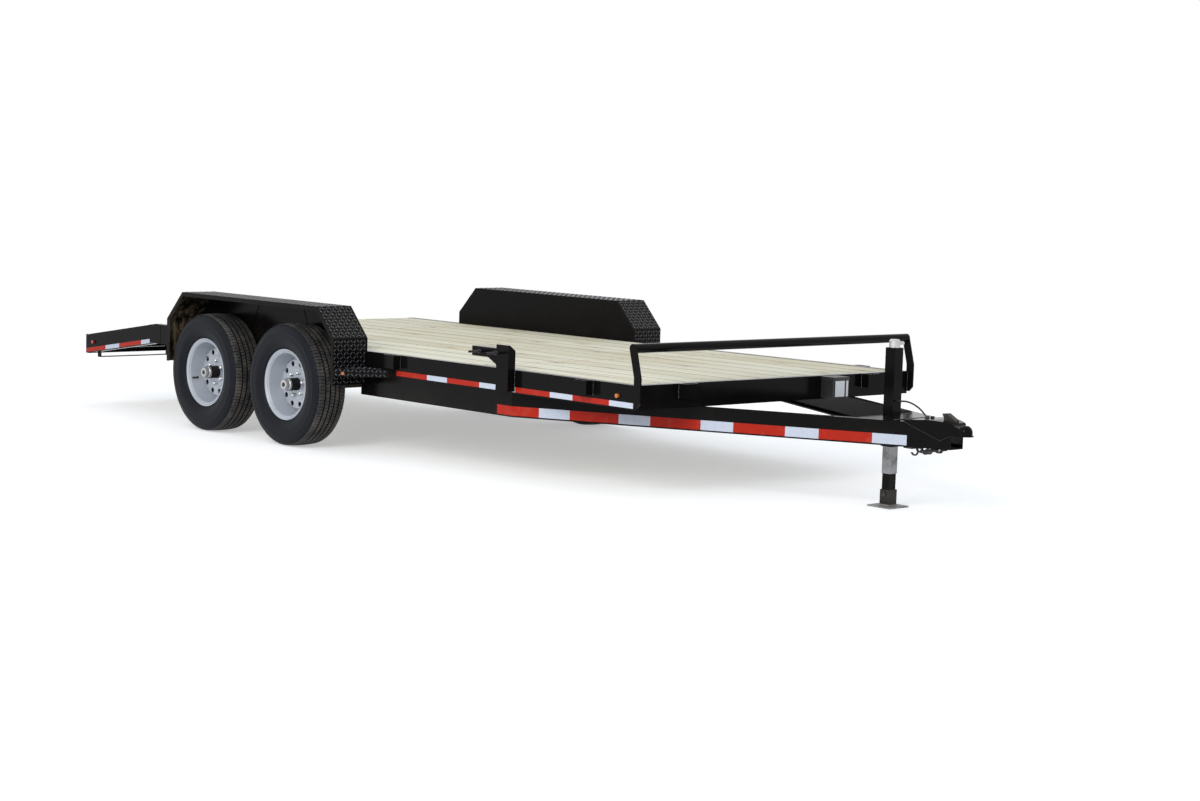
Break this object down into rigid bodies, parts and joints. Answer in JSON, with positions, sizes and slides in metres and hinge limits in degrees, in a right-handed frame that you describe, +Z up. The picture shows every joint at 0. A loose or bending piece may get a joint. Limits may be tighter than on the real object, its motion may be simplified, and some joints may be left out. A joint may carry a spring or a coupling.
{
  "type": "car hauler trailer",
  "caption": "Flatbed car trailer with a plank deck, sloping tail, tandem axles under drive-over fenders, a V tongue with ball coupler and a drop-leg jack",
  "frame": {"origin": "on the ground under the middle of the trailer's length and width", "axes": "+X forward to the coupler, +Y to the trailer's left, +Z up"},
  "size_m": [6.737, 2.5908, 0.859],
  "materials": {
    "black_paint": "gloss black paint, dusty",
    "tread_plate": "gloss black diamond tread plate",
    "axle_paint": "satin black, dirty",
    "planks": "pale weathered pine",
    "tyre": "matt rubber",
    "rim_silver": "silver paint, satin",
    "hub_black": "gloss black",
    "zinc": "zinc plated",
    "galvanised": "galvanised, dull",
    "worn_steel": "plated steel, worn and oily",
    "chain_steel": "plated chain, dirty",
    "cable_jacket": "black vinyl jacket",
    "black_plastic": "moulded plastic",
    "amber_lens": "clear amber lens",
    "red_lens": "clear red lens"
  },
  "bodies": {
    "chassis": {"side_rails": "black_paint", "front_crossmember": "black_paint", "tail_crossmember": "black_paint", "floor_bearers": "black_paint", "tail_bearers": "black_paint", "deck_planks": "planks", "tail_planks": "planks", "tongue_beams": "black_paint", "stake_pockets": "black_paint", "spare_mount": "black_paint", "front_rail": "black_paint", "fender_right": "tread_plate", "fender_left": "tread_plate", "side_steps": "tread_plate", "axles": "axle_paint", "brake_plates": "axle_paint", "leaf_springs": "axle_paint", "spring_hangers": "black_paint", "equalizers": "axle_paint", "jack_plate": "black_paint", "jack_housing": "black_paint", "jack_head": "zinc", "coupler": "black_paint", "coupler_latch": "worn_steel", "battery_box": "black_plastic", "amber_lamps": "amber_lens", "tail_lamps": "red_lens", "safety_chains": "chain_steel", "breakaway_cable": "cable_jacket"},
    "jack_leg": {"jack_ram": "galvanised", "jack_drop_leg": "black_paint", "jack_foot": "galvanised", "jack_pin": "zinc"},
    "wheel_front_right": {"tyre_front_right": "tyre", "rim_front_right": "rim_silver", "hub_front_right": "hub_black"},
    "wheel_front_left": {"tyre_front_left": "tyre", "rim_front_left": "rim_silver", "hub_front_left": "hub_black"},
    "wheel_rear_right": {"tyre_rear_right": "tyre", "rim_rear_right": "rim_silver", "hub_rear_right": "hub_black"},
    "wheel_rear_left": {"tyre_rear_left": "tyre", "rim_rear_left": "rim_silver", "hub_rear_left": "hub_black"}
  },
  "joints": [
    {"name": "wheel_front_right_spin", "type": "hinge", "parent": "chassis", "child": "wheel_front_right", "pos_m": [-0.7055, -1.179, 0.362], "axis": [0, 1, 0], "continuous": true},
    {"name": "wheel_front_left_spin", "type": "hinge", "parent": "chassis", "child": "wheel_front_left", "pos_m": [-0.7055, 1.179, 0.362], "axis": [0, 1, 0], "continuous": true},
    {"name": "wheel_rear_right_spin", "type": "hinge", "parent": "chassis", "child": "wheel_rear_right", "pos_m": [-1.5615, -1.179, 0.362], "axis": [0, 1, 0], "continuous": true},
    {"name": "wheel_rear_left_spin", "type": "hinge", "parent": "chassis", "child": "wheel_rear_left", "pos_m": [-1.5615, 1.179, 0.362], "axis": [0, 1, 0], "continuous": true},
    {"name": "jack_leg_slide", "type": "slide", "parent": "chassis", "child": "jack_leg", "axis": [0, 0, 1], "range_m": [0, 0.145]}
  ]
}
